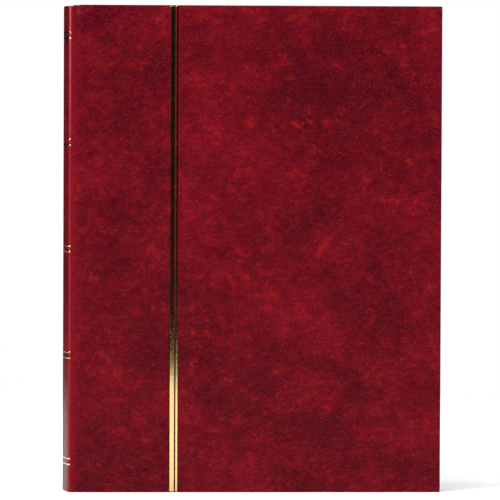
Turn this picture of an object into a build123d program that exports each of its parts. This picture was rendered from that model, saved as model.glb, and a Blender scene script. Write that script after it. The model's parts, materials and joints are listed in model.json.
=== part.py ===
"""Stamp album: a hinged case with eight card stock leaves, standing slightly open.

Frame: Z runs up the spine, X from the spine towards the fore-edge, the front
cover is on the -Y side.  The origin is at the foot of the spine panel.
Lengths are in millimetres, angles in degrees.
"""
from build123d import *
import math
import os

os.makedirs("parts", exist_ok=True)

# ---- driving dimensions -------------------------------------------------
HEIGHT = 305.0          # covers, foot to head
WIDTH = 234.0           # spine face to fore-edge, closed
THICKNESS = 20.0        # over both covers, closed
REST_ANGLE = 10.0       # each cover, opened from closed

# case
SKIN = 0.35             # leatherette
BOARD = 2.3             # greyboard of the covers
SPINE_BOARD = 1.5       # board of the spine
SPINE_MARGIN = 0.8      # the spine board stands this far inside each cover's face
SPINE_LOSS = 0.75       # and its head this much below the covers' heads
SPINE_ROUND = 0.7       # its long edges
TURN_IN = 15.0          # leatherette folded to the inside
BOARD_ROUND = 0.45
COVER_ROUND = 0.8
LINING_MARGIN = 0.4     # kraft lining inside the edges of the spine

# groove between the spine board and each cover board
HINGE_X = 2.9           # the cover turns about this line
HINGE_Y = 8.4
U_BOARD = 3.4           # the cover board starts this far out from it
FLANGE_N = -0.72        # the cover's skin goes down the board's edge to here
JOINT_LOSS = 1.2        # the joint stands this much short of the covers
JOINT_GAP = 0.01        # between the joint's cloth and the skins it meets
JOINT_BEND = 0.02       # cut off the joint's corner at the spine's face
JOINT_FROM_SPINE = (    # x, and how far outside the spine's edge
    (-0.65, 0.06),
    (0.0, 0.05),
    (0.75, 0.03),
    (1.9, -0.2),
    (3.2, -0.35),
)
JOINT_TO_COVER = (      # along the cover from its board's edge, and across it
    (-1.6, -0.3),
    (-0.7, -0.25),
    (-0.175, -0.47),
)

# gold foil
FOIL = 0.05
FOIL_WIDE = (59.8, 62.6)    # stripes along the cover, from its hinge line
FOIL_THIN = (63.4, 64.7)
FOIL_MARGIN = 0.9       # from the cover's head and foot
BAND_FIRST = 19.2       # centre of the lowest pair of spine bands
BAND_STEP = 66.65
BAND_PAIRS = 5
BAND_HALF_GAP = 1.8
BAND_HEIGHT = 0.8
BAND_MARGIN = 0.1

# endpapers
PAPER = 0.15
PASTE_MARGIN = 4.0      # pastedown inside the cover's edges
PASTE_INSET = 0.4       # pastedown from the board's edge at the groove
FLY_X = 4.9             # the flyleaf turns about this line
FLY_Y = 6.35
FLY_START = 5.0
FLY_HALF = 0.1

# leaves
LEAVES_PER_SIDE = 4
LEAF_PITCH = 1.45       # leaf to leaf, closed
LEAF_STEP_X = 0.7
CARD = 0.5
CARD_START = 10.0
CARD_CORNER = 2.5
LINEN = 0.44
GLASSINE = 0.08
GLASSINE_GAP = 0.09     # between the glassine and the pocket strips
GLASSINE_GLUE = 2.5     # width of its glued edge
GLASSINE_INSET = 2.0    # its foot and head inside the card's
PAGE_HEIGHT = 297.0
PAGE_FOOT = 4.0         # page foot above the cover foot
PAGE_END_X = 226.4
GUARD_ROOT = 3.0
GUARD_HALF = 0.5
GUARD_MARGIN = 0.1
FLY_RATIO = 0.97        # each sheet's turn as a part of its cover's
LEAF_RATIOS = (0.94, 0.90, 0.86, 0.82)

# pocket strips
FILM = 0.10             # clear film
POCKET = 0.08           # room between film and card
STRIPS = 9              # on each face of a leaf
STRIP_PITCH = 32.0
STRIP_HEIGHT = 27.0
STRIP_GLUE = 1.5
STRIP_FOOT = 4.5        # lowest strip above the page foot
STRIP_INSET = 5.0       # from the card's inner edge
STRIP_END_MARGIN = 3.0

# ---- derived positions --------------------------------------------------
SPINE_T = SPINE_BOARD + 2 * SKIN
X_OUT = -SPINE_T / 2
X_IN = SPINE_T / 2
SPINE_HALF = THICKNESS / 2 - SPINE_MARGIN
SPINE_HEAD = HEIGHT - SPINE_LOSS

N_OUT = HINGE_Y - THICKNESS / 2
N_BOARD = N_OUT + SKIN
N_BACK = N_BOARD + BOARD
N_WRAP = N_BACK + SKIN
N_PAPER = N_WRAP + PAPER
U_END = WIDTH - (HINGE_X - X_OUT)

PASTE_START = U_BOARD + PASTE_INSET
PAGE_HEAD = PAGE_FOOT + PAGE_HEIGHT
LEAF_HALF = CARD / 2 + POCKET + FILM

FRONT = -1
BACK = 1
SIDES = {"front": FRONT, "back": BACK}


# ---- helpers ------------------------------------------------------------
def hinge_plane(side, x, y, angle):
    """Plane at a hinge line: its X runs out along the sheet, its Z is up."""
    turn = math.radians(angle)
    return Plane(
        origin=(x, side * y, 0),
        x_dir=(math.cos(turn), side * math.sin(turn), 0),
        z_dir=(0, 0, 1),
    )


def cover_plane(side):
    return hinge_plane(side, HINGE_X, HINGE_Y, REST_ANGLE)


def fly_plane(side):
    return hinge_plane(side, FLY_X, FLY_Y, FLY_RATIO * REST_ANGLE)


def leaf_axis(rank):
    """Hinge line of the leaf of this rank, 1 next to the cover."""
    x = FLY_X + LEAF_STEP_X * rank
    y = (LEAVES_PER_SIDE + 0.5 - rank) * LEAF_PITCH
    return x, y


def leaf_plane(side, rank):
    x, y = leaf_axis(rank)
    return hinge_plane(side, x, y, LEAF_RATIOS[rank - 1] * REST_ANGLE)


def leaf_end(rank):
    return PAGE_END_X - leaf_axis(rank)[0]


def slab(plane, side, along, across, heights, mode=Mode.ADD):
    """Add a box: along the sheet, across it (positive inwards), and up."""
    with BuildSketch(plane.offset(heights[0])) as section:
        with Locations((sum(along) / 2, -side * sum(across) / 2)):
            Rectangle(along[1] - along[0], across[1] - across[0])
    extrude(section.sketch, amount=heights[1] - heights[0], mode=mode)


def ribbon(points, thickness, heights):
    """Add a sheet of even thickness whose section follows the points."""
    left = []
    right = []
    for i, point in enumerate(points):
        before = points[max(i - 1, 0)]
        after = points[min(i + 1, len(points) - 1)]
        dx = after[0] - before[0]
        dy = after[1] - before[1]
        length = math.hypot(dx, dy)
        nx = -dy / length * thickness / 2
        ny = dx / length * thickness / 2
        left.append((point[0] + nx, point[1] + ny))
        right.append((point[0] - nx, point[1] - ny))
    with BuildSketch(Plane.XY.offset(heights[0])) as section:
        with BuildLine():
            Polyline(*left, *reversed(right), close=True)
        make_face()
    extrude(section.sketch, amount=heights[1] - heights[0])


def on_cover(side, u, n):
    """Point of the cover's own frame, in the album's frame."""
    spot = cover_plane(side).from_local_coords((u, -side * n, 0))
    return spot.X, spot.Y


def on_fly(side, u, n):
    spot = fly_plane(side).from_local_coords((u, -side * n, 0))
    return spot.X, spot.Y


def save(builder, name):
    builder.part.label = name
    export_step(builder.part, f"parts/{name}.step")


# ---- spine --------------------------------------------------------------
def spine_board():
    with BuildPart() as board:
        slab(
            Plane.XY, FRONT,
            (-SPINE_BOARD / 2, SPINE_BOARD / 2),
            (-SPINE_HALF, SPINE_HALF),
            (SKIN, SPINE_HEAD - SKIN),
        )
        fillet(board.edges().filter_by(Axis.Z), radius=SPINE_ROUND)
    return board


def spine_leatherette():
    """Outer skin, turned over the board at head and foot."""
    with BuildPart() as skin:
        slab(
            Plane.XY, FRONT, (X_OUT, X_IN),
            (-SPINE_HALF, SPINE_HALF), (0, SPINE_HEAD),
        )
        ends = skin.edges().filter_by(Axis.Y)
        fillet(ends, radius=SKIN)
        slab(
            Plane.XY, FRONT,
            (-SPINE_BOARD / 2, SPINE_BOARD / 2),
            (-SPINE_HALF, SPINE_HALF),
            (SKIN, SPINE_HEAD - SKIN),
            mode=Mode.SUBTRACT,
        )
        slab(
            Plane.XY, FRONT, (SPINE_BOARD / 2, X_IN),
            (-SPINE_HALF, SPINE_HALF),
            (TURN_IN, SPINE_HEAD - TURN_IN),
            mode=Mode.SUBTRACT,
        )
    return skin


def spine_lining():
    """Kraft paper strip glued inside the spine, between the turn-ins."""
    with BuildPart() as lining:
        slab(
            Plane.XY, FRONT, (SPINE_BOARD / 2, X_IN),
            (-SPINE_HALF + LINING_MARGIN, SPINE_HALF - LINING_MARGIN),
            (TURN_IN, SPINE_HEAD - TURN_IN),
        )
    return lining


def spine_foil_bands():
    with BuildPart() as bands:
        for i in range(BAND_PAIRS):
            for shift in (-BAND_HALF_GAP, BAND_HALF_GAP):
                middle = BAND_FIRST + BAND_STEP * i + shift
                slab(
                    Plane.XY, FRONT, (X_OUT - FOIL, X_OUT),
                    (-SPINE_HALF + BAND_MARGIN, SPINE_HALF - BAND_MARGIN),
                    (middle - BAND_HEIGHT / 2, middle + BAND_HEIGHT / 2),
                )
    return bands


def leaf_guards():
    """Folded card stubs that carry the leaves, on one glued root."""
    with BuildPart() as guards:
        slab(
            Plane.XY, FRONT, (X_IN, GUARD_ROOT),
            (-FLY_Y - FLY_HALF, FLY_Y + FLY_HALF), (PAGE_FOOT, PAGE_HEAD),
        )
        for side in (FRONT, BACK):
            for rank in range(1, LEAVES_PER_SIDE + 1):
                x, y = leaf_axis(rank)
                middle = side * y
                slab(
                    Plane.XY, BACK, (GUARD_ROOT, x - GUARD_MARGIN),
                    (-middle - GUARD_HALF, -middle + GUARD_HALF),
                    (PAGE_FOOT, PAGE_HEAD),
                )
    return guards


# ---- covers -------------------------------------------------------------
def joint_leatherette(side):
    """Skin of the groove between the spine board and the cover board."""
    half = SKIN / 2
    edge = SPINE_HALF + half
    path = [(X_OUT + half, SPINE_HALF + JOINT_GAP), (X_OUT + half, edge - JOINT_BEND)]
    path += [(x, edge + out) for x, out in JOINT_FROM_SPINE]
    path = [(x, side * y) for x, y in path]
    path += [on_cover(side, U_BOARD + u, n) for u, n in JOINT_TO_COVER]
    path.append(on_cover(side, U_BOARD - half, FLANGE_N + JOINT_GAP))
    with BuildPart() as joint:
        ribbon(path, SKIN, (JOINT_LOSS, HEIGHT - JOINT_LOSS))
    return joint


def cover_board(side):
    with BuildPart() as board:
        slab(
            cover_plane(side), side,
            (U_BOARD, U_END - SKIN), (N_BOARD, N_BACK),
            (SKIN, HEIGHT - SKIN),
        )
        fillet(board.edges(), radius=BOARD_ROUND)
    return board


def cover_leatherette(side):
    """Skin round the board, with turn-ins at head, foot and fore-edge."""
    plane = cover_plane(side)
    with BuildPart() as skin:
        slab(
            plane, side, (U_BOARD - SKIN, U_END),
            (N_OUT, N_WRAP), (0, HEIGHT),
        )
        fillet(skin.edges(), radius=COVER_ROUND)
        slab(
            plane, side, (U_BOARD - 2 * SKIN, U_BOARD),
            (FLANGE_N, N_WRAP), (0, HEIGHT), mode=Mode.SUBTRACT,
        )
        slab(
            plane, side, (U_BOARD, U_END - TURN_IN),
            (N_BACK, N_WRAP), (TURN_IN, HEIGHT - TURN_IN),
            mode=Mode.SUBTRACT,
        )
        add(cover_board(side).part, mode=Mode.SUBTRACT)
    return skin


def pastedown(side):
    """Endpaper glued over the turn-ins and filling between them."""
    plane = cover_plane(side)
    with BuildPart() as sheet:
        slab(
            plane, side, (PASTE_START, U_END - PASTE_MARGIN),
            (N_WRAP, N_PAPER), (PASTE_MARGIN, HEIGHT - PASTE_MARGIN),
        )
        slab(
            plane, side, (PASTE_START, U_END - TURN_IN),
            (N_BACK, N_WRAP), (TURN_IN, HEIGHT - TURN_IN),
        )
    return sheet


def cover_foil(along):
    with BuildPart() as stripe:
        slab(
            cover_plane(FRONT), FRONT, along,
            (N_OUT - FOIL, N_OUT), (FOIL_MARGIN, HEIGHT - FOIL_MARGIN),
        )
    return stripe


# ---- endpapers ----------------------------------------------------------
def flyleaf(side):
    with BuildPart() as sheet:
        slab(
            fly_plane(side), side, (FLY_START, PAGE_END_X - FLY_X),
            (-FLY_HALF, FLY_HALF), (PAGE_FOOT, PAGE_HEAD),
        )
    return sheet


def endpaper_fold(side):
    """The endpaper between pastedown and flyleaf, bent at the joint."""
    path = [
        on_cover(side, PASTE_START - 0.05, N_WRAP + PAPER / 2),
        on_cover(side, 2.0, 1.7),
        on_fly(side, 0.1, -0.35),
        on_fly(side, 0.6, -0.04),
        on_fly(side, FLY_START - 0.05, 0.0),
    ]
    with BuildPart() as fold:
        ribbon(path, PAPER, (PAGE_FOOT, PAGE_HEAD))
    return fold


# ---- leaves -------------------------------------------------------------
def leaf_card(side, rank):
    with BuildPart() as card:
        slab(
            leaf_plane(side, rank), side, (CARD_START, leaf_end(rank)),
            (-CARD / 2, CARD / 2), (PAGE_FOOT, PAGE_HEAD),
        )
        corners = card.edges().filter_by(
            lambda e: abs(e.length - CARD) < 0.01
        ).group_by(Axis.X)[-1]
        fillet(corners, radius=CARD_CORNER)
    return card


def leaf_hinge(side, rank):
    """Linen strip between the card and its guard."""
    with BuildPart() as hinge:
        slab(
            leaf_plane(side, rank), side, (0.1, CARD_START - 0.01),
            (-LINEN / 2, LINEN / 2), (PAGE_FOOT, PAGE_HEAD),
        )
    return hinge


def leaf_strips(side, rank):
    """Clear pocket strips on both faces, each glued along its foot."""
    plane = leaf_plane(side, rank)
    along = (CARD_START + STRIP_INSET, leaf_end(rank) - STRIP_END_MARGIN)
    near = CARD / 2
    top = near + POCKET + FILM
    with BuildPart() as strips:
        for i in range(STRIPS):
            foot = PAGE_FOOT + STRIP_FOOT + STRIP_PITCH * i
            for face in (-1, 1):
                glue = sorted((face * near, face * top))
                film = sorted((face * (near + POCKET), face * top))
                slab(plane, side, along, glue, (foot, foot + STRIP_GLUE))
                slab(plane, side, along, film, (foot, foot + STRIP_HEIGHT))
    return strips


def interleaf(side, rank):
    """Glassine sheet on the inner side of a leaf, glued near its hinge."""
    plane = leaf_plane(side, rank)
    near = LEAF_HALF + GLASSINE_GAP
    heights = (PAGE_FOOT + GLASSINE_INSET, PAGE_HEAD - GLASSINE_INSET)
    start = CARD_START + 0.5
    with BuildPart() as sheet:
        slab(
            plane, side, (start, leaf_end(rank) - 1.0),
            (near, near + GLASSINE), heights,
        )
        slab(plane, side, (start, start + GLASSINE_GLUE), (CARD / 2, near), heights)
    return sheet


# ---- build and export ---------------------------------------------------
save(spine_board(), "spine_board")
save(spine_leatherette(), "spine_leatherette")
save(spine_lining(), "spine_lining")
save(spine_foil_bands(), "spine_foil_bands")
save(leaf_guards(), "leaf_guards")
save(cover_foil(FOIL_WIDE), "cover_foil_wide")
save(cover_foil(FOIL_THIN), "cover_foil_thin")

for word, side in SIDES.items():
    save(joint_leatherette(side), f"{word}_joint_leatherette")
    save(cover_board(side), f"{word}_board")
    save(cover_leatherette(side), f"{word}_leatherette")
    save(pastedown(side), f"{word}_pastedown")
    save(flyleaf(side), f"{word}_flyleaf")
    save(endpaper_fold(side), f"{word}_endpaper_fold")
    for rank in range(1, LEAVES_PER_SIDE + 1):
        number = rank if side == FRONT else 2 * LEAVES_PER_SIDE + 1 - rank
        save(leaf_card(side, rank), f"leaf_{number}_card")
        save(leaf_hinge(side, rank), f"leaf_{number}_hinge")
        save(leaf_strips(side, rank), f"leaf_{number}_strips")
        if side == FRONT:
            save(interleaf(side, rank), f"interleaf_{number}")
        elif rank < LEAVES_PER_SIDE:
            save(interleaf(side, rank), f"interleaf_{number - 1}")
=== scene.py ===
"""Looks of the stamp album: leatherette case, gold foil, black card leaves, film pockets.

Lengths are in millimetres and turned into metres by MM, except on the stage, where the
camera, the lights and the table are placed in metres.
"""
import json
import math

import bmesh
import bpy
import numpy as np
from mathutils import Matrix, Vector


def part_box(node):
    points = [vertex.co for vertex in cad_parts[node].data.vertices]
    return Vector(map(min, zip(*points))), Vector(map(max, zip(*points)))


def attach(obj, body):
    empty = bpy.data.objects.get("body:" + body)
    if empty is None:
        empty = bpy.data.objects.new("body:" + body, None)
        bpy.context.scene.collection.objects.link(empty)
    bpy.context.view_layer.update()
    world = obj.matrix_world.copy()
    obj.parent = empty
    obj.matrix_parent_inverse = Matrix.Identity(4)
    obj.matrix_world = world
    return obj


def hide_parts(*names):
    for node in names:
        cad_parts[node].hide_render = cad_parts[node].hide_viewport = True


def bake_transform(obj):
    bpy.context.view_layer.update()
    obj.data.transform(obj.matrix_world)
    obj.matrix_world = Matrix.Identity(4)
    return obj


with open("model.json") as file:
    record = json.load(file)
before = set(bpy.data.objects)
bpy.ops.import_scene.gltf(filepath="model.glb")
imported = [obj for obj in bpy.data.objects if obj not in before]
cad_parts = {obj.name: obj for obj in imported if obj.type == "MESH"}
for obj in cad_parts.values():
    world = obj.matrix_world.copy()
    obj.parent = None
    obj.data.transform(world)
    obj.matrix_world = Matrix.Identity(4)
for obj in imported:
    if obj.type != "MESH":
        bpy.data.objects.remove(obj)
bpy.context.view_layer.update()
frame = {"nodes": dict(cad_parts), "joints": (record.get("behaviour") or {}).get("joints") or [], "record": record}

MM = 0.001

# ---- sizes shared with the frame, in millimetres ------------------------
JOINTS = {joint["name"]: joint for joint in frame["joints"]}
RATIOS = {row["joint"]: row["ratio"] for row in frame["record"]["behaviour"]["couplings"]}
COVER_HINGE = JOINTS["back_cover_hinge"]
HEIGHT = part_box("front_leatherette")[1].z / MM
REST = math.radians(-COVER_HINGE["range_deg"][0])   # each cover, opened from closed
HINGE_X, HINGE_Y = (place / MM for place in COVER_HINGE["pos_m"][:2])
SKIN = 0.35
X_OUT = -1.1                            # outer face of the spine panel
SPINE_DEPTH = 2.2                       # skin to skin through the spine board
SPINE_HALF = 9.2                        # half width of the spine board
COVER_END = 230.0                       # fore-edge of the cover skin, along the cover
N_OUT = -1.6                            # outer face of the cover skin, across it
COVER_DEPTH = 3.0                       # skin to skin through the cover board
TURN_IN = 15.0
MID = SKIN / 2
MID_N = N_OUT + MID                     # middle of the skin on the cover's outer face
BACK_N = N_OUT + COVER_DEPTH - SKIN     # and of its turn-ins on the inner face

LEAVES, INTERLEAVES = 8, 7
PAGE_FOOT, PAGE_HEAD = (corner.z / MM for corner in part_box("leaf_1_card"))
CARD_START, CARD_HALF = 10.0, 0.25      # along the leaf, and half the card's thickness

STRIPES = ((59.8, 62.6), (63.4, 64.7))  # gold stripes, along the cover
BAND_FIRST, BAND_STEP, BAND_PAIRS = 19.2, 66.65, 5
BAND_HALF_GAP, BAND_HEIGHT = 1.8, 0.8


# ---- small tools --------------------------------------------------------
def smooth(t):
    """Smoothstep: 3t^2 - 2t^3 of t held between 0 and 1."""
    t = np.clip(t, 0.0, 1.0)
    return t * t * (3.0 - 2.0 * t)


def grid_faces(rows, columns, start=0):
    """Quads of a rows by columns grid whose first vertex is number start."""
    r, c = np.meshgrid(np.arange(rows - 1), np.arange(columns - 1), indexing="ij")
    first = (start + r * columns + c).ravel()
    return np.stack([first, first + 1, first + 1 + columns, first + columns], axis=1)


def piece(name, grids, uvs, material, weld=0.002):
    """One mesh from grids of points in millimetres, with a UV map, doubles welded."""
    points, faces, coords, count = [], [], [], 0
    for grid, uv in zip(grids, uvs):
        rows, columns = grid.shape[:2]
        faces.append(grid_faces(rows, columns, count))
        points.append(grid.reshape(-1, 3) * MM)
        coords.append(uv.reshape(-1, 2) * MM)
        count += rows * columns
    points = np.concatenate(points)
    faces = np.concatenate(faces)
    coords = np.concatenate(coords)
    mesh = bpy.data.meshes.new(name)
    mesh.from_pydata(points.tolist(), [], faces.tolist())
    layer = mesh.uv_layers.new(name="cloth")
    layer.data.foreach_set("uv", coords[faces.ravel()].astype(np.float32).ravel())
    work = bmesh.new()
    work.from_mesh(mesh)
    bmesh.ops.remove_doubles(work, verts=work.verts, dist=weld * MM)
    bmesh.ops.recalc_face_normals(work, faces=work.faces)
    work.to_mesh(mesh)
    work.free()
    mesh.polygons.foreach_set("use_smooth", [True] * len(mesh.polygons))
    mesh.materials.append(material)
    made = bpy.data.objects.new(name, mesh)
    bpy.context.scene.collection.objects.link(made)
    return made


def thicken(made, thickness):
    """Wall of that thickness about a piece's surface."""
    solid = made.modifiers.new("thickness", "SOLIDIFY")
    solid.thickness = thickness * MM
    solid.offset = 0.0
    solid.use_even_offset = False
    return made


def on_cover(side, u, n):
    """Point of a cover's own frame (out along it, inwards across it) in the row's XY."""
    c, s = math.cos(REST), math.sin(REST)
    x = HINGE_X + u * c + n * s
    y = side * (HINGE_Y + u * s - n * c)
    return np.stack([x, y * np.ones_like(x)], axis=-1)


def curve(start, start_pull, end_pull, end, steps):
    """Cubic Bezier from start to end with two pull points, as steps + 1 points."""
    t = np.linspace(0.0, 1.0, steps + 1)[:, None]
    a, b, c, d = (np.array(p, float) for p in (start, start_pull, end_pull, end))
    return (1 - t) ** 3 * a + 3 * (1 - t) ** 2 * t * b + 3 * (1 - t) * t * t * c + t ** 3 * d


# ---- the case: one skin over spine, groove and cover --------------------
SEAM = 6.0              # the spine's own piece of skin ends here
EDGE = 0.625            # rounding of the skin over a board's edge
FOLD = 0.875            # rounding over the spine board's long edges
FLOOR_U, FLOOR_N = 0.5, -1.0        # bottom line of the groove, in the cover's frame
FACE_U = 4.3            # the cover's flat face starts here
WALL_PULL, FLOOR_PULL = 1.3, 1.2    # pull points of the curve down into the groove
RISE_PULL, BRIM_PULL = 1.0, 1.1     # and of the curve up out of it
DOWN_STEPS, UP_STEPS = 12, 14
SINK_START, SINK_SHARE = 0.35, 0.5  # part of the way down over which the head sinks
CLIMB_START, CLIMB_REACH = 0.9, 2.3     # along the cover, where the head rises again
FLAT_COLUMNS = 5        # of the spine's face, from the seam to the fold
SPINE_TURN_IN = 9.0     # half width of the turn-in behind the spine board
SPINE_TURN_BEND = 0.6   # its last stretch, behind the fold
SPINE_TURN_SHARE = 0.985            # its columns against those of the outer face
BOARD_EDGE = 2.6        # the cover board starts here, along the cover
SLOPE_RUN, SLOPE_REACH = 0.9, 0.55  # of the turn-in from the board's edge to behind it
BEHIND_GAP = 0.02       # between the skin at the groove and its turn-in
SPINE_DROP = 0.75       # the spine's head stands this much below the cover's
GROOVE_DROP = 1.6       # and the head of the groove this much
GROOVE_RISE = 0.2       # its foot stands this much above the cover's
PINCH, PINCH_REACH = 0.7, 4.0       # the groove is drawn in at its head, over this height
ROWS = 152              # of each skin, foot to head
ARC = 6                 # points of each rounded edge
FOLD_ARC = 8
STRIPE_SINK = 0.10      # the stripes are pressed in this deep
STRIPE_EDGE = 0.12
STRIPE_SLOPE = 0.16     # width of the step down at each side of a stripe
STRIPE_MARGIN = 0.6     # face beside the stripes that has the stripes' fine columns
FORE_EDGE_ZONE = 20.0


def stations():
    """Distances along the cover face for the skin's columns, dense at the stripes."""
    last = COVER_END - MID - EDGE
    low, high = STRIPES[0][0] - STRIPE_MARGIN, STRIPES[1][1] + STRIPE_MARGIN
    return np.concatenate([
        np.linspace(FACE_U, low, 34)[:-1],
        np.linspace(low, high, 64)[:-1],
        np.linspace(high, last - FORE_EDGE_ZONE, 90)[:-1],
        np.linspace(last - FORE_EDGE_ZONE, last, 14),
    ])


def stripe_sink(u):
    """Depth of the pressed foil stripes: a soft step down at each edge."""
    depth = np.zeros_like(u)
    for low, high in STRIPES:
        left = smooth((u - low + STRIPE_EDGE) / STRIPE_SLOPE)
        right = smooth((high + STRIPE_EDGE - u) / STRIPE_SLOPE)
        depth += STRIPE_SINK * left * right
    return depth


def fold_line(side):
    """The spine's face from the seam outwards, then a quarter circle round its edge."""
    outer_x = X_OUT + MID
    flat = np.linspace(SEAM, SPINE_HALF + MID - FOLD, FLAT_COLUMNS)
    angle = np.linspace(0.0, math.pi / 2, FOLD_ARC + 1)[1:]
    x = np.concatenate([np.full_like(flat, outer_x), outer_x + FOLD * (1 - np.cos(angle))])
    y = np.concatenate([flat, flat[-1] + FOLD * np.sin(angle)])
    return np.stack([x, side * y], axis=-1)


def section(side):
    """Columns of the skin from the spine seam to the fore-edge: a flat, a fold, two
    cubic curves down into the groove and up out of it, and the cover's face.

    Gives the outer line, the line of the turned-in skin behind it, the length along
    the skin, how far the head stands below the cover's, and how deep in the groove
    each column is, from 0 to 1.
    """
    along = np.array([math.cos(REST), side * math.sin(REST)])
    fold = fold_line(side)
    floor = on_cover(side, np.array(FLOOR_U), np.array(FLOOR_N))
    brim = on_cover(side, np.array(FACE_U), np.array(MID_N))
    wall = fold[-1] + [WALL_PULL, 0.0]
    down = curve(fold[-1], wall, floor - FLOOR_PULL * along, floor, DOWN_STEPS)[1:]
    up = curve(floor, floor + RISE_PULL * along, brim - BRIM_PULL * along, brim, UP_STEPS)[1:]
    u = stations()[1:]
    face = on_cover(side, u, MID_N + stripe_sink(u))
    outer = np.concatenate([fold, down, up, face])

    inner = np.concatenate([
        inner_spine(fold), inner_groove(side, len(down), floor),
        inner_cover(side, up), on_cover(side, u, np.full_like(u, BACK_N)),
    ])
    sink = smooth((np.linspace(0, 1, len(down) + 1)[1:] - SINK_START) / SINK_SHARE)
    climb = 1.0 - smooth((along_cover(side, up) - CLIMB_START) / CLIMB_REACH)
    drop = np.concatenate([
        np.full(len(fold), SPINE_DROP),
        SPINE_DROP + (GROOVE_DROP - SPINE_DROP) * sink,
        GROOVE_DROP * climb, np.zeros(len(u)),
    ])
    groove = np.concatenate([np.zeros(len(fold)), sink, climb, np.zeros(len(u))])
    step = np.linalg.norm(np.diff(outer, axis=0), axis=1)
    length = SEAM + np.concatenate([[0.0], np.cumsum(step)])
    return outer, inner, length, drop, groove


def along_cover(side, points):
    """Distance of points along the cover, from its hinge line."""
    c, s = math.cos(REST), math.sin(REST)
    return (points[:, 0] - HINGE_X) * c + (side * points[:, 1] - HINGE_Y) * s


def inner_spine(fold):
    """The turn-in behind the spine board, a little narrower than the outer face."""
    inner_x = X_OUT + SPINE_DEPTH - MID
    bend = np.sign(fold[0, 1]) * np.linspace(
        SPINE_TURN_IN - SPINE_TURN_BEND, SPINE_TURN_IN, FOLD_ARC)
    y = np.concatenate([fold[:FLAT_COLUMNS, 1] * SPINE_TURN_SHARE, bend])
    return np.stack([np.full_like(y, inner_x), y], axis=-1)


def inner_groove(side, count, floor):
    """The turn-in of the groove: a smooth line from the spine's to behind its floor."""
    start = np.array([X_OUT + SPINE_DEPTH - MID, side * SPINE_TURN_IN])
    end = floor - [0.0, side * (SKIN + BEHIND_GAP)]
    t = smooth(np.linspace(0, 1, count + 1)[1:])[:, None]
    return start * (1 - t) + end * t


def inner_cover(side, up):
    """The turn-in that passes the cover board's edge and goes behind the board."""
    u = along_cover(side, up)
    stops = (FLOOR_U, BOARD_EDGE, BOARD_EDGE + SLOPE_RUN, FACE_U)
    reach = (FLOOR_U, BOARD_EDGE, BOARD_EDGE + SLOPE_REACH, FACE_U)
    behind = FLOOR_N + SKIN + BEHIND_GAP
    depth = (behind, behind, BACK_N, BACK_N)
    return on_cover(side, np.interp(u, stops, reach), np.interp(u, stops, depth))


SWELL_START, SWELL_END, SWELL_FADE = 18.0, 236.0, 12.0      # along the skin
SWELL_BORDER, SWELL_RISE = 4.0, 10.0                        # from head and foot


def board_swell(s, z):
    """Slight unevenness of the glued skin, in millimetres: a sum of long crossed waves,
    faded out towards the edges."""
    swell = 0.030 * np.sin(s / 21.0 + 1.3) * np.sin(z / 33.0 + 0.4)
    swell += 0.016 * np.sin(s / 7.3 - z / 11.0) + 0.010 * np.sin(s / 5.1 + z / 6.7 + 2.0)
    across = smooth((s - SWELL_START) / SWELL_FADE) * smooth((SWELL_END - s) / SWELL_FADE)
    foot = smooth((z - SWELL_BORDER) / SWELL_RISE)
    head = smooth((HEIGHT - SWELL_BORDER - z) / SWELL_RISE)
    return swell * across * foot * head


def face_grid(side, outer, length, drop, groove):
    """The skin's outer face: every column carried up from foot to head, moved inwards
    by the board's swell and, near the head, by the pinch of the groove."""
    top = HEIGHT - MID - drop - EDGE
    low = MID + GROOVE_RISE * groove + EDGE
    v = np.linspace(0.0, 1.0, ROWS)[:, None]
    z = low[None, :] * (1 - v) + top[None, :] * v
    pinch = PINCH * groove[None, :] * np.exp((z - top[None, :]) / PINCH_REACH)
    inward = np.array([math.sin(REST), -side * math.cos(REST)])
    move = pinch - board_swell(np.broadcast_to(length, z.shape), z)
    xy = outer[None, :, :] + move[..., None] * inward
    uv = np.stack([np.broadcast_to(length, z.shape), z], axis=2)
    return np.concatenate([xy, z[..., None]], axis=2), uv


def corner_reach(along, up, first):
    """Directions that turn from up or down to along, and the other way, over a corner."""
    turn = np.linspace(0.0, math.pi / 2, ARC)[1:-1, None]
    reach = np.cos(turn) * up + np.sin(turn) * along
    return reach if first else reach[::-1]


def border(side, face, face_uv, inner, length):
    """The face's border, foot to fore-edge to head, as five runs of columns: its point,
    the way its edge reaches out, the way its turn-in lies, its inner point, its UV."""
    along = np.array([math.cos(REST), side * math.sin(REST), 0.0])
    up = np.array([0.0, 0.0, 1.0])
    columns, corner = face.shape[1], ARC - 2
    mitre = smooth_mitre(length[-1] - length)[:, None]
    z = face[:, -1, 2]
    tilt = (smooth_mitre(z[-1] - z) - smooth_mitre(z - z[0]))[:, None]
    runs = [
        (face[0], np.tile(-up, (columns, 1)), mitre * along - up, inner, face_uv[0]),
        (face[0, -1], corner_reach(along, -up, True), along - up, inner[-1], face_uv[0, -1]),
        (face[:, -1], np.tile(along, (ROWS, 1)), along + tilt * up, inner[-1], face_uv[:, -1]),
        (face[-1, -1], corner_reach(along, up, False), along + up, inner[-1], face_uv[-1, -1]),
        (face[-1, ::-1], np.tile(up, (columns, 1)), (mitre * along + up)[::-1],
         inner[::-1], face_uv[-1, ::-1]),
    ]
    whole = []
    for part in range(5):
        whole.append(np.concatenate([
            np.broadcast_to(run[part], (len(run[1]), np.shape(run[part])[-1])) for run in runs
        ]))
    return whole, along


def smooth_mitre(distance):
    """1 at the corner, falling in a straight line to 0 at two turn-ins from it."""
    return np.clip(1.0 - distance / (2 * TURN_IN), 0.0, 1.0)


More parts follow.
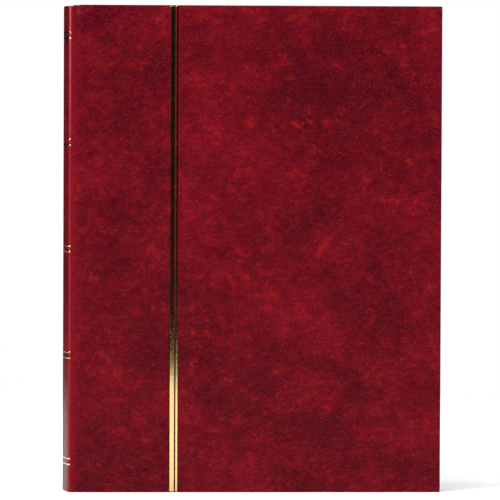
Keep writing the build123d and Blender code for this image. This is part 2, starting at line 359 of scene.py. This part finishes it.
def edge_grid(whole, along):
    """Rows of the folded edge: a quarter circle out, a quarter circle back, and the
    turn-in, each row worked out for every column of the border at once."""
    base, reach, fold, inner, uv = whole
    through = np.concatenate([inner - base[:, :2], np.zeros((len(inner), 1))], axis=1)
    depth = np.linalg.norm(through, axis=1, keepdims=True)
    through = through / depth
    radius = np.minimum(EDGE, depth / 2)
    drift = np.stack([reach @ along, reach[:, 2]], axis=1)
    rows, coords = [], []
    angle = np.linspace(0.0, math.pi / 2, ARC)
    for a in angle:
        rows.append(base + reach * EDGE * math.sin(a) + through * radius * (1 - math.cos(a)))
        coords.append(uv + drift * EDGE * a)
    round_length = EDGE * math.pi / 2 + COVER_DEPTH - 2 * EDGE
    for a in angle[::-1]:
        inwards = depth - radius * (1 - math.cos(a))
        rows.append(base + reach * EDGE * math.sin(a) + through * inwards)
        coords.append(uv + drift * (round_length + EDGE * (math.pi / 2 - a)))
    for k in np.linspace(0.0, TURN_IN - EDGE, 9)[1:]:
        rows.append(base + through * depth - fold * k)
        coords.append(uv + drift * (round_length + EDGE * math.pi / 2 + k))
    return np.stack(rows), np.stack(coords)


def cover_skin(name, side, material):
    """Skin of one cover with its groove: an outer face, and an edge that is carried
    along foot, fore-edge and head, rounded over the board and turned in with mitres."""
    outer, inner, length, drop, groove = section(side)
    face, face_uv = face_grid(side, outer, length, drop, groove)
    whole, along = border(side, face, face_uv, inner, length)
    edge, edge_uv = edge_grid(whole, along)
    return thicken(piece(name, [face, edge], [face_uv, edge_uv], material), SKIN)


def spine_skin(name, material):
    """Skin of the spine panel: its section is a long flat, half circles over head and
    foot and a turn-in at each end, carried straight across from seam to seam."""
    low, top = MID + EDGE, HEIGHT - MID - SPINE_DROP - EDGE
    x_outer, x_inner = X_OUT + MID, X_OUT + SPINE_DEPTH - MID
    angle = np.linspace(0.0, math.pi / 2, ARC)
    mouth = np.linspace(TURN_IN - EDGE, 0.0, 8)[:-1]
    run = np.linspace(top, HEIGHT / 2, ROWS // 2)[1:]
    head_x = np.concatenate([
        np.full(len(mouth), x_inner), x_inner - EDGE * (1 - np.cos(angle)),
        x_outer + EDGE * (1 - np.cos(angle[::-1])), np.full(len(run), x_outer),
    ])
    head_z = np.concatenate([
        top - mouth, top + EDGE * np.sin(angle), top + EDGE * np.sin(angle[::-1]), run,
    ])
    foot_z = low + (top - head_z) * (HEIGHT / 2 - low) / (top - HEIGHT / 2)
    foot_z[:-len(run)] = low + (top - head_z)[:-len(run)]
    x = np.concatenate([head_x, head_x[-2::-1]])
    z = np.concatenate([head_z, foot_z[-2::-1]])
    path = np.concatenate([[0.0], np.cumsum(np.hypot(np.diff(x), np.diff(z)))])
    climb = HEIGHT / 2 - path + path[len(head_x) - 1]
    across = np.linspace(-SEAM, SEAM, 9)
    grid = np.stack(np.broadcast_arrays(x[:, None], across[None, :], z[:, None]), axis=2)
    uv = np.stack(np.broadcast_arrays(across[None, :], climb[:, None]), axis=2)
    return thicken(piece(name, [grid], [uv], material), SKIN)


# ---- gold foil ----------------------------------------------------------
FOIL = 0.02
FOIL_LIFT = MID + 0.02
FOIL_WRAP = 0.5         # angle that the foil goes over the head and foot
FOIL_INSET = 0.03       # from each side of the pressed stripe


def face_lengths():
    """Distances along the cover and the matching lengths along its skin."""
    length = section(-1)[2]
    u = stations()
    return u, length[-len(u):]


def cover_stripe(name, span, material):
    """Foil stripe pressed into the front cover: a narrow grid that follows the skin
    up the face and over its rounded foot and head."""
    u = np.linspace(span[0] + FOIL_INSET, span[1] - FOIL_INSET, 7)
    low, top = MID + EDGE, HEIGHT - MID - EDGE
    angle = np.linspace(0.0, FOIL_WRAP, ARC)
    radius = EDGE + FOIL_LIFT
    z = np.concatenate([
        low - radius * np.sin(angle[::-1]),
        np.linspace(low, top, ROWS)[1:-1],
        top + radius * np.sin(angle),
    ])
    back = radius * (1 - np.cos(angle))
    back = np.concatenate([back[::-1], np.zeros(ROWS - 2), back])
    n = MID_N + STRIPE_SINK - FOIL_LIFT + back
    start = float(np.interp(span[0], *face_lengths()))
    s = np.broadcast_to(u[None, :] - span[0] + start, (len(z), len(u)))
    swell = board_swell(s, np.broadcast_to(z[:, None], s.shape))
    xy = on_cover(-1, np.broadcast_to(u[None, :], s.shape), n[:, None] - swell)
    grid = np.concatenate([xy, np.broadcast_to(z[:, None, None], s.shape + (1,))], axis=2)
    uv = np.stack([s, np.broadcast_to(z[:, None], s.shape)], axis=2)
    return thicken(piece(name, [grid], [uv], material), FOIL)


def spine_bands(name, material):
    """Foil lines across the spine: the spine's section, lifted off the skin, carried
    over the height of each line and round both folds."""
    outer, _, length, _, _ = section(1)
    count = len(fold_line(1)) + 1
    line = outer[:count]
    tangent = np.gradient(line, axis=0)
    tangent /= np.linalg.norm(tangent, axis=1, keepdims=True)
    normal = np.stack([-tangent[:, 1], tangent[:, 0]], axis=1)
    half = line + normal * FOIL_LIFT
    whole = np.concatenate([half[::-1] * [1, -1], half])
    grids, uvs = [], []
    run = np.concatenate([-length[:count][::-1], length[:count]])
    for i in range(BAND_PAIRS):
        for shift in (-BAND_HALF_GAP, BAND_HALF_GAP):
            middle = BAND_FIRST + BAND_STEP * i + shift
            z = middle + np.linspace(-BAND_HEIGHT / 2, BAND_HEIGHT / 2, 4)
            grid = np.stack(np.broadcast_arrays(
                whole[None, :, 0], whole[None, :, 1], z[:, None]), axis=2)
            grids.append(grid)
            uvs.append(np.stack(np.broadcast_arrays(run[None, :], z[:, None]), axis=2))
    return thicken(piece(name, grids, uvs, material), FOIL)


# ---- leaf hinges --------------------------------------------------------
LINEN = 0.09
PLY_GAP = 0.06          # from the middle of the hinge to the middle of each ply
LINEN_START = -1.2      # from the hinge line, into the guard
LINEN_MARGIN = 0.1      # from the card's head and foot
LINEN_GLUE = 0.01
PARTING = 1.4           # before the card, where the plies start to part
PARTING_LENGTH = 1.3
FRONT_LAP, BACK_LAP = 4.0, 0.4          # of the plies over the card's two faces


def leaf_frame(number):
    """Hinge point, direction out along the leaf and direction inwards, at rest."""
    joint = JOINTS[f"leaf_{number}_hinge_line"]
    turn = REST * RATIOS[joint["name"]]
    origin = np.array(joint["pos_m"][:2]) / MM
    side = np.sign(origin[1])
    out = np.array([math.cos(turn), side * math.sin(turn)])
    inward = np.array([math.sin(turn), -side * math.cos(turn)])
    return origin, out, inward


def linen_hinge(name, number, material):
    """Two plies of linen from the guard to the card: flat beside each other, then
    parting smoothly to lie on the card's faces."""
    origin, out, inward = leaf_frame(number)
    grids, uvs = [], []
    z = np.linspace(PAGE_FOOT + LINEN_MARGIN, PAGE_HEAD - LINEN_MARGIN, 60)
    on_card = CARD_HALF + LINEN / 2 + LINEN_GLUE
    for ply, lap in ((-1, FRONT_LAP), (1, BACK_LAP)):
        u = np.linspace(LINEN_START, CARD_START + lap, 34)
        part = smooth((u - CARD_START + PARTING) / PARTING_LENGTH)
        n = ply * (PLY_GAP + (on_card - PLY_GAP) * part)
        xy = origin + u[:, None] * out + n[:, None] * inward
        grid = np.concatenate([
            np.broadcast_to(xy[None], (len(z), len(u), 2)),
            np.broadcast_to(z[:, None, None], (len(z), len(u), 1)),
        ], axis=2)
        grids.append(grid)
        uvs.append(np.stack(np.broadcast_arrays(u[None, :], z[:, None]), axis=2))
    return thicken(piece(name, grids, uvs, material), LINEN)


# ---- materials ----------------------------------------------------------
def linear(*srgb):
    """Colour given as 0-255 screen values, as linear light."""
    c = np.array(srgb, float) / 255.0
    c = np.where(c <= 0.04045, c / 12.92, ((c + 0.055) / 1.055) ** 2.4)
    return (float(c[0]), float(c[1]), float(c[2]), 1.0)


class Finish:
    """A node material with short ways to add the nodes that these finishes share."""

    def __init__(self, name, use_uv=False):
        """New material that reads the piece's own UV map or its object coordinates."""
        self.material = bpy.data.materials.new(name)
        self.material.use_nodes = True
        self.tree = self.material.node_tree
        self.shader = self.tree.nodes["Principled BSDF"]
        if use_uv:
            source = self.tree.nodes.new("ShaderNodeUVMap")
            source.uv_map = "cloth"
            self.coords = source.outputs["UV"]
        else:
            source = self.tree.nodes.new("ShaderNodeTexCoord")
            self.coords = source.outputs["Object"]

    def link(self, out, socket):
        """Joins a node's output to a socket."""
        self.tree.links.new(out, socket)

    def feed(self, **outs):
        """Links node outputs to the shader's own sockets, by name."""
        for key, out in outs.items():
            self.link(out, self.shader.inputs[key.replace("_", " ")])

    def put(self, **values):
        """Sets constants on the shader's own sockets, by name."""
        for key, value in values.items():
            self.shader.inputs[key.replace("_", " ")].default_value = value

    def mapped(self, scale=(1, 1, 1), turn=0.0, coords=None):
        """Coordinates turned about Z and scaled, so a pattern runs longer one way."""
        node = self.tree.nodes.new("ShaderNodeMapping")
        node.inputs["Scale"].default_value = scale
        node.inputs["Rotation"].default_value = (0, 0, turn)
        self.link(self.coords if coords is None else coords, node.inputs["Vector"])
        return node.outputs["Vector"]

    def warped(self, size, reach):
        """Coordinates pushed about by up to reach millimetres, in sweeps of that size."""
        push = self.tree.nodes.new("ShaderNodeTexNoise")
        push.inputs["Scale"].default_value = 1.0 / (size * MM)
        push.inputs["Detail"].default_value = 2.0
        self.link(self.coords, push.inputs["Vector"])
        add = self.tree.nodes.new("ShaderNodeVectorMath")
        add.operation = "MULTIPLY_ADD"
        add.inputs[1].default_value = (2 * reach * MM,) * 3
        self.link(push.outputs["Color"], add.inputs[0])
        self.link(self.coords, add.inputs[2])
        return add.outputs["Vector"]

    def axis(self, letter):
        """One of the coordinates by itself."""
        parts = self.tree.nodes.new("ShaderNodeSeparateXYZ")
        self.link(self.coords, parts.inputs["Vector"])
        return parts.outputs[letter]

    def fold_polish_and_highlight(self, start, end, fade):
        """1 along the fold beside the spine, where hands polish the skin, 0 elsewhere:
        full from start to end across the skin, then fading out. The mask sets the
        coat's polish and lays painted highlight into the colour."""
        along = self.maths("ABSOLUTE", self.axis("X"), 0.0)
        rise = self.span(along, (start - 0.5) * MM, start * MM, 0.0, 1.0)
        fall = self.span(along, end * MM, (end + fade) * MM, 1.0, 0.0)
        return self.maths("MULTIPLY", rise, fall)

    def ridges(self, size, coords):
        """Thin lines, 1 on the line and 0 away from it, where a noise crosses its middle."""
        middle = self.maths("SUBTRACT", self.noise(size, 2.0, 0.5, 0.0, coords), 0.5)
        return self.span(self.maths("ABSOLUTE", middle, 0.0), 0.0, 0.055, 1.0, 0.0)

    def noise(self, size, detail=3.0, rough=0.55, twist=0.0, coords=None):
        """Noise whose blotches are about size millimetres across."""
        node = self.tree.nodes.new("ShaderNodeTexNoise")
        node.inputs["Scale"].default_value = 1.0 / (size * MM)
        node.inputs["Detail"].default_value = detail
        node.inputs["Roughness"].default_value = rough
        node.inputs["Distortion"].default_value = twist
        self.link(self.coords if coords is None else coords, node.inputs["Vector"])
        return node.outputs["Fac"]

    def ramp(self, factor, stops):
        """Colour that runs through the stops, each a place and a colour."""
        node = self.tree.nodes.new("ShaderNodeValToRGB")
        ramp = node.color_ramp
        while len(ramp.elements) < len(stops):
            ramp.elements.new(0.5)
        for element, (place, colour) in zip(ramp.elements, stops):
            element.position = place
            element.color = colour
        self.link(factor, node.inputs["Fac"])
        return node.outputs["Color"]

    def fill(self, node, *pairs):
        """Links or sets inputs of a node, given as pairs of a number and a value."""
        for number, value in pairs:
            socket = node.inputs[number]
            if isinstance(value, bpy.types.NodeSocket):
                self.link(value, socket)
            else:
                socket.default_value = value

    def mix(self, factor, a, b):
        """Colour a where factor is 0, colour b where it is 1."""
        node = self.tree.nodes.new("ShaderNodeMix")
        node.data_type = "RGBA"
        self.fill(node, (0, factor), (6, a), (7, b))
        return node.outputs[2]

    def span(self, value, low, high, to_low, to_high):
        """Value carried from low..high to to_low..to_high and held there."""
        node = self.tree.nodes.new("ShaderNodeMapRange")
        node.inputs["From Min"].default_value = low
        node.inputs["From Max"].default_value = high
        node.inputs["To Min"].default_value = to_low
        node.inputs["To Max"].default_value = to_high
        self.link(value, node.inputs["Value"])
        return node.outputs["Result"]

    def maths(self, kind, a, b):
        """Sum, difference, product or size of two values."""
        node = self.tree.nodes.new("ShaderNodeMath")
        node.operation = kind
        self.fill(node, (0, a), (1, b))
        return node.outputs[0]

    def bump(self, height, depth, strength=1.0, under=None):
        """Normal of a relief that is depth millimetres high, over another normal."""
        node = self.tree.nodes.new("ShaderNodeBump")
        node.inputs["Distance"].default_value = depth * MM
        node.inputs["Strength"].default_value = strength
        self.link(height, node.inputs["Height"])
        if under is not None:
            self.link(under, node.inputs["Normal"])
        return node.outputs["Normal"]


CLOTH_TONES = (                         # from the dark clouds to the light ones
    (0.38, linear(50, 4, 11)),
    (0.45, linear(64, 5, 14)),
    (0.50, linear(76, 6, 16)),
    (0.56, linear(91, 8, 20)),
    (0.64, linear(112, 17, 25)),
)
RUSSET = linear(124, 20, 14)
# painted shade in the creases
CREASE_PAINTED_SHADE = linear(50, 4, 11)
# pale flecks painted in as glints on the grain
GRAIN_PAINTED_GLINT = linear(140, 60, 58)
# painted highlight on the shoulder of the groove
SHOULDER_PAINTED_HIGHLIGHT = linear(112, 13, 24)
# painted highlight on the fold, laid into the colour
FOLD_PAINTED_HIGHLIGHT = linear(158, 68, 72)
HIGHLIGHT_FOOT, HIGHLIGHT_HEAD = 210.0, 303.0     # the painted highlight on the fold grows between these heights
FOLD_START, FOLD_END, SHOULDER_HIGHLIGHT_END = 9.2, 9.6, 10.4     # along the skin


def leatherette():
    """Embossed book cloth: crimson clouded with burgundy, creased grain that flows."""
    f = Finish("leatherette_crimson", use_uv=True)
    flow = f.warped(16.0, 5.0)
    brushed = f.mapped((0.34, 1.0, 1.0), math.radians(-16.0), flow)
    crossed = f.mapped((0.6, 1.0, 1.0), math.radians(24.0), flow)
    cloud = f.noise(70.0, 2.0, 0.5, 0.3)
    patch = f.noise(24.0, 4.0, 0.55, 0.3)
    blotch = f.noise(7.0, 4.0, 0.62, 0.3)
    fleck = f.noise(2.4, 3.0, 0.62, coords=brushed)
    grain = f.noise(0.9, 3.0, 0.68, coords=brushed)
    pore = f.noise(0.62, 2.0, 0.6, coords=crossed)
    crease = f.ridges(3.2, brushed)
    colour = cloth_colour(f, brushed, crease, cloud, patch, blotch, fleck, grain, pore)
    # mask on the fold: the coat's polish, and painted highlight in the colour
    fold = f.fold_polish_and_highlight(FOLD_START, FOLD_END, 0.9)
    colour = painted_highlight_colour(f, colour, fold)
    height = f.maths("SUBTRACT", grain, f.maths("MULTIPLY", crease, 0.5))
    relief = f.bump(blotch, 0.16, 0.5, f.bump(height, 0.07, 0.6, f.bump(pore, 0.05, 0.6)))
    glint = f.span(f.noise(1.1, 3.0, 0.7, 0.0, brushed), 0.52, 0.66, 0.0, 0.16)
    f.feed(
        Base_Color=colour,
        Roughness=f.span(blotch, 0.3, 0.7, 0.28, 0.22),
        Normal=relief,
        Coat_Weight=f.maths("ADD", glint, f.maths("MULTIPLY", fold, 0.3)),
        Coat_Normal=f.bump(pore, 0.10, 0.8, relief),
    )
    f.put(Specular_IOR_Level=0.03, Specular_Tint=(1.0, 0.5, 0.52, 1.0), Coat_Roughness=0.24)
    return f.material


def cloth_colour(f, brushed, crease, cloud, patch, blotch, fleck, grain, pore):
    """The cloth's mottling: layers from broad clouds to fine pores, added up and run
    through the cloth's tones, then russet patches, painted shade in the creases and
    pale flecks painted in as glints on the grain."""
    tone = f.maths("MULTIPLY", cloud, 0.25)
    layers = ((patch, 0.20), (blotch, 0.22), (fleck, 0.13), (grain, 0.11), (pore, 0.09))
    for layer, weight in layers:
        tone = f.maths("ADD", tone, f.maths("MULTIPLY", layer, weight))
    russet = f.span(f.noise(6.0, 3.0, 0.6, 0.4), 0.54, 0.68, 0.0, 0.5)
    russet = f.maths("MULTIPLY", russet, f.span(patch, 0.42, 0.62, 0.0, 1.0))
    # painted glints: pale flecks on the grain
    painted_glint_tips = f.span(f.noise(0.6, 2.0, 0.7, 0.0, brushed), 0.54, 0.74, 0.0, 0.24)
    colour = f.mix(russet, f.ramp(tone, CLOTH_TONES), RUSSET)
    # painted shade darkens the creases
    colour = f.mix(f.maths("MULTIPLY", crease, 0.30), colour, CREASE_PAINTED_SHADE)
    return f.mix(painted_glint_tips, colour, GRAIN_PAINTED_GLINT)


def painted_highlight_colour(f, colour, fold):
    """Painted highlight in the colour: brighter red on the shoulder of the groove, and a
    pale line on the fold that grows towards the head."""
    # painted highlight spread over the groove's shoulder
    shoulder_highlight = f.fold_polish_and_highlight(FOLD_START, SHOULDER_HIGHLIGHT_END, 4.2)
    colour = f.mix(f.maths("MULTIPLY", shoulder_highlight, 0.7), colour, SHOULDER_PAINTED_HIGHLIGHT)
    # painted highlight, fading from the head downwards
    wear_and_highlight = f.span(f.axis("Y"), HIGHLIGHT_FOOT * MM, HIGHLIGHT_HEAD * MM, 0.04, 0.6)
    return f.mix(f.maths("MULTIPLY", fold, wear_and_highlight), colour, FOLD_PAINTED_HIGHLIGHT)


def gold_foil():
    """Bright hot-stamped foil that carries a little of the grain beneath it."""
    f = Finish("gold_foil_bright", use_uv=True)
    wear_and_highlight = f.noise(1.4, 3.0, 0.65)
    f.feed(
        Base_Color=f.ramp(wear_and_highlight, ((0.35, (0.55, 0.43, 0.16, 1)), (0.6, (0.62, 0.51, 0.21, 1)))),
        Roughness=f.span(wear_and_highlight, 0.3, 0.7, 0.05, 0.09),
        Normal=f.bump(f.noise(0.8, 2.0, 0.6), 0.012, 0.6),
    )
    f.put(Metallic=1.0)
    return f.material


def card(name, dark, light, size=0.6, depth=0.03, roughness=0.85):
    """Matt card or paper: fine fibre flecks between two tones."""
    f = Finish(name)
    fibre = f.noise(size, 3.0, 0.7, coords=f.mapped((1, 1, 0.35)))
    f.feed(
        Base_Color=f.ramp(fibre, ((0.35, dark), (0.65, light))),
        Normal=f.bump(fibre, depth, 0.5),
    )
    f.put(Roughness=roughness, Specular_IOR_Level=0.3)
    return f.material


def pocket_film():
    """Clear glossy film with faint haze."""
    f = Finish("pocket_film_clear")
    haze = f.noise(14.0, 2.0, 0.5)
    f.feed(
        Base_Color=f.ramp(haze, ((0.3, (0.14, 0.15, 0.16, 1)), (0.7, (0.22, 0.23, 0.24, 1)))),
        Normal=f.bump(f.noise(26.0, 0.0), 0.2, 0.25),
    )
    f.put(Roughness=0.08, Alpha=0.2, IOR=1.49)
    return f.material


def glassine():
    """Smooth translucent paper."""
    f = Finish("glassine_clear")
    cloud = f.noise(3.0, 3.0, 0.7)
    f.feed(
        Base_Color=f.ramp(cloud, ((0.3, (0.74, 0.75, 0.72, 1)), (0.7, (0.86, 0.87, 0.84, 1)))),
        Normal=f.bump(cloud, 0.05, 0.4),
    )
    f.put(Roughness=0.35, Alpha=0.62)
    return f.material


THREAD_PITCH = 0.9


def linen():
    """Black bookbinder's linen: a fine plain weave."""
    f = Finish("linen_black", use_uv=True)
    waves = []
    for axis in ("X", "Y"):
        node = f.tree.nodes.new("ShaderNodeTexWave")
        node.bands_direction = axis
        node.inputs["Scale"].default_value = 1.0 / (THREAD_PITCH * MM) / 3.14
        node.inputs["Distortion"].default_value = 0.6
        f.link(f.coords, node.inputs["Vector"])
        waves.append(node.outputs["Fac"])
    weave = f.maths("ADD", waves[0], waves[1])
    tones = ((0.2, (0.010, 0.010, 0.011, 1)), (0.9, (0.035, 0.034, 0.036, 1)))
    f.feed(
        Base_Color=f.ramp(f.span(weave, 0.0, 2.0, 0.0, 1.0), tones),
        Normal=f.bump(weave, 0.04, 0.6),
    )
    f.put(Roughness=0.8, Sheen_Weight=0.2)
    return f.material


# ---- stage --------------------------------------------------------------
FRONT = Vector((-math.sin(REST), -math.cos(REST), 0.0))     # out of the front cover
RIGHT = Vector((math.cos(REST), -math.sin(REST), 0.0))
UP = Vector((0.0, 0.0, 1.0))

CAMERA_DISTANCE, CAMERA_RISE = 3.0, 0.108
CAMERA_TURN = math.radians(3.0)         # towards the spine, from square to the cover
CAMERA_ROLL = math.radians(0.24)
AIM_ALONG, AIM_HEIGHT = 109.8, 152.0    # millimetres along the cover and up it
SENSOR, FRAME_FILL = 36.0, 0.9745       # the cover's height as a part of the frame's


def camera():
    """Long lens in front of the front cover, turned a little towards the spine."""
    data = bpy.data.cameras.new("camera")
    made = bpy.data.objects.new("camera", data)
    bpy.context.scene.collection.objects.link(made)
    bpy.context.scene.camera = made
    aim_xy = on_cover(-1, np.array(AIM_ALONG), np.array(N_OUT)) * MM
    aim = Vector((float(aim_xy[0]), float(aim_xy[1]), AIM_HEIGHT * MM))
    turn = REST + CAMERA_TURN
    outward = Vector((-math.sin(turn), -math.cos(turn), 0.0))
    made.location = aim + outward * CAMERA_DISTANCE + UP * CAMERA_RISE
    look = (aim - made.location).normalized()
    roll = Matrix.Rotation(CAMERA_ROLL, 3, "Z").to_quaternion()
    made.rotation_mode = "QUATERNION"
    made.rotation_quaternion = look.to_track_quat("-Z", "Y") @ roll
    data.sensor_width = SENSOR
    data.lens = SENSOR * FRAME_FILL / (HEIGHT * MM) * CAMERA_DISTANCE
    data.clip_end = 50.0
    return made


def area_light(name, place, target, size, power, colour=(1, 1, 1)):
    """Rectangular soft light at a place, turned to a target."""
    data = bpy.data.lights.new(name, "AREA")
    data.shape = "RECTANGLE"
    data.size, data.size_y = size
    data.energy = power
    data.color = colour
    made = bpy.data.objects.new(name, data)
    bpy.context.scene.collection.objects.link(made)
    made.location = place
    made.rotation_mode = "QUATERNION"
    made.rotation_quaternion = (Vector(target) - Vector(place)).to_track_quat("-Z", "Y")
    return made


TABLE_LEVEL = -0.0002                   # just under the album's foot
TABLE_FORWARD, TABLE_REACH = 0.14, 1.05
STRIP_TURN, STRIP_DISTANCE = math.radians(48.0), 1.6
WARM, COOL = (1.0, 0.97, 0.94), (0.97, 0.98, 1.0)


def table_top(middle, reach):
    """Round table top: rings of points about its middle."""
    angle = np.linspace(0, 2 * math.pi, 97)
    radius = reach * np.array([0.0, 0.2, 0.55, 1.0])
    x = middle.x + radius[:, None] * np.cos(angle)
    y = middle.y + radius[:, None] * np.sin(angle)
    top = np.stack([x, y, np.full_like(x, TABLE_LEVEL)], axis=2) / MM
    paper = card("table_top", (0.86, 0.86, 0.86, 1), (0.90, 0.90, 0.90, 1), 3.0, 0.01, 0.8)
    piece("table_top", [top], [top[..., :2]], paper)


def studio():
    """Round pale table top, white surround, soft boxes at the front and overhead, and a
    narrow one that lights the fold beside the spine."""
    target = Vector((0.11, 0.0, 0.15))
    table_top(target + FRONT * TABLE_FORWARD, TABLE_REACH)
    left = target + FRONT * 1.7 - RIGHT * 1.9 + UP * 1.05
    right = target + FRONT * 1.6 + RIGHT * 1.4 + UP * 0.95
    over = target + FRONT * 0.1 + UP * 1.9
    area_light("soft_box_left", left, target, (0.9, 0.9), 90.0, WARM)
    area_light("soft_box_right", right, target, (0.9, 0.9), 20.0, COOL)
    area_light("soft_box_over", over, target, (1.8, 1.8), 62.0)
    towards = FRONT * math.cos(STRIP_TURN) - RIGHT * math.sin(STRIP_TURN)
    strip = target + STRIP_DISTANCE * towards + UP * 0.42
    area_light("strip_box_spine", strip, target + UP * 0.1, (0.12, 0.30), 8.0)
    surround()


def surround():
    """White where it is seen directly, nearly dark as a source of light."""
    world = bpy.data.worlds.new("surround")
    bpy.context.scene.world = world
    world.use_nodes = True
    tree = world.node_tree
    dim = tree.nodes["Background"]
    dim.inputs["Color"].default_value = (0.9, 0.9, 0.9, 1)
    dim.inputs["Strength"].default_value = 0.015
    seen = tree.nodes.new("ShaderNodeBackground")
    seen.inputs["Color"].default_value = (1, 1, 1, 1)
    seen.inputs["Strength"].default_value = 1.0
    path = tree.nodes.new("ShaderNodeLightPath")
    mix = tree.nodes.new("ShaderNodeMixShader")
    tree.links.new(path.outputs["Is Camera Ray"], mix.inputs["Fac"])
    tree.links.new(dim.outputs["Background"], mix.inputs[1])
    tree.links.new(seen.outputs["Background"], mix.inputs[2])
    tree.links.new(mix.outputs["Shader"], tree.nodes["World Output"].inputs["Surface"])


# ---- put it together ----------------------------------------------------
def repaint(material, *names):
    """Gives CAD nodes a finish."""
    for name in names:
        node = frame["nodes"][name]
        node.data.materials.clear()
        node.data.materials.append(material)


bpy.context.scene.view_settings.view_transform = "Standard"
camera()
studio()
SKIN_CLOTH = leatherette()
GOLD = gold_foil()
LINEN_CLOTH = linen()
GREYBOARD = card("greyboard", (0.26, 0.25, 0.23, 1), (0.42, 0.40, 0.37, 1), 0.8, 0.05)
KRAFT = card("kraft_paper", (0.34, 0.23, 0.13, 1), (0.46, 0.33, 0.20, 1))
BLACK_CARD = card(
    "black_card", (0.012, 0.012, 0.013, 1), (0.026, 0.026, 0.027, 1), 0.5, 0.02, 0.75)
ENDPAPER = card("endpaper_ivory", (0.66, 0.62, 0.52, 1), (0.78, 0.74, 0.64, 1), 0.7, 0.02)
FILM = pocket_film()
GLASSINE = glassine()

spine_piece = spine_skin("spine_skin", SKIN_CLOTH)
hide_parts("spine_leatherette")
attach(spine_piece, "spine")

for word, side in (("front", -1), ("back", 1)):
    skin = cover_skin(f"{word}_skin", side, SKIN_CLOTH)
    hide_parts(f"{word}_leatherette", f"{word}_joint_leatherette")
    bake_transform(skin)

for name, span in zip(("cover_foil_wide", "cover_foil_thin"), STRIPES):
    stripe = cover_stripe(name.replace("cover_foil", "foil_stripe"), span, GOLD)
    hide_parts(name)
    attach(stripe, "front_cover")

bands = spine_bands("spine_bands", GOLD)
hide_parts("spine_foil_bands")
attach(bands, "spine")

for number in range(1, LEAVES + 1):
    hinge = linen_hinge(f"linen_hinge_{number}", number, LINEN_CLOTH)
    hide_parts(f"leaf_{number}_hinge")
    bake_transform(hinge)
    repaint(BLACK_CARD, f"leaf_{number}_card")
    repaint(FILM, f"leaf_{number}_strips")

repaint(GREYBOARD, "spine_board", "front_board", "back_board")
repaint(KRAFT, "spine_lining")
repaint(BLACK_CARD, "leaf_guards")
repaint(ENDPAPER, "front_pastedown", "back_pastedown", "front_flyleaf", "back_flyleaf")
repaint(ENDPAPER, "front_endpaper_fold", "back_endpaper_fold")
repaint(GLASSINE, *[f"interleaf_{number}" for number in range(1, INTERLEAVES + 1)])
